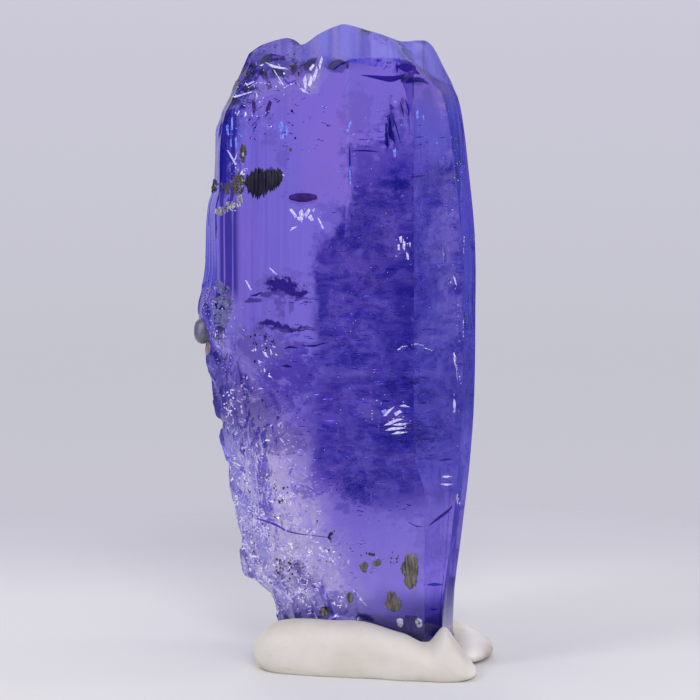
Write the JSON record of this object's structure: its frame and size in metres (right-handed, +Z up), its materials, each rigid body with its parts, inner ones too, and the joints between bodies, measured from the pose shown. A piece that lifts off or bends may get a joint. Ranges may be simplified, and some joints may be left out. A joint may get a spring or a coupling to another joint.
{
  "type": "rough tanzanite crystal on mounting putty",
  "caption": "Upright rough tanzanite crystal, striated, chipped on top and etched at the lower left, held upright by white mounting putty.",
  "frame": {"origin": "middle of the bounding box, on the surface that the putty stands on", "axes": "+Z up along the crystal, -Y towards the viewer of its broad front face, +X to that viewer's right"},
  "size_m": [0.01, 0.008, 0.0212],
  "materials": {
    "tanzanite": "clear violet-blue, frosted lower left",
    "grey_grain": "smooth grey mineral grain",
    "graphite": "dull black graphite",
    "bronze_flake": "satin bronze-grey metallic flake",
    "putty": "matt white putty"
  },
  "bodies": {
    "root": {"tanzanite_crystal": "tanzanite", "grey_grain": "grey_grain", "graphite_cluster": "graphite", "bronze_flake_1": "bronze_flake", "bronze_flake_2": "bronze_flake", "bronze_flake_3": "bronze_flake", "bronze_flake_4": "bronze_flake", "bronze_flake_5": "bronze_flake", "bronze_flake_6": "bronze_flake", "putty_roll": "putty", "putty_lump": "putty"}
  },
  "joints": []
}
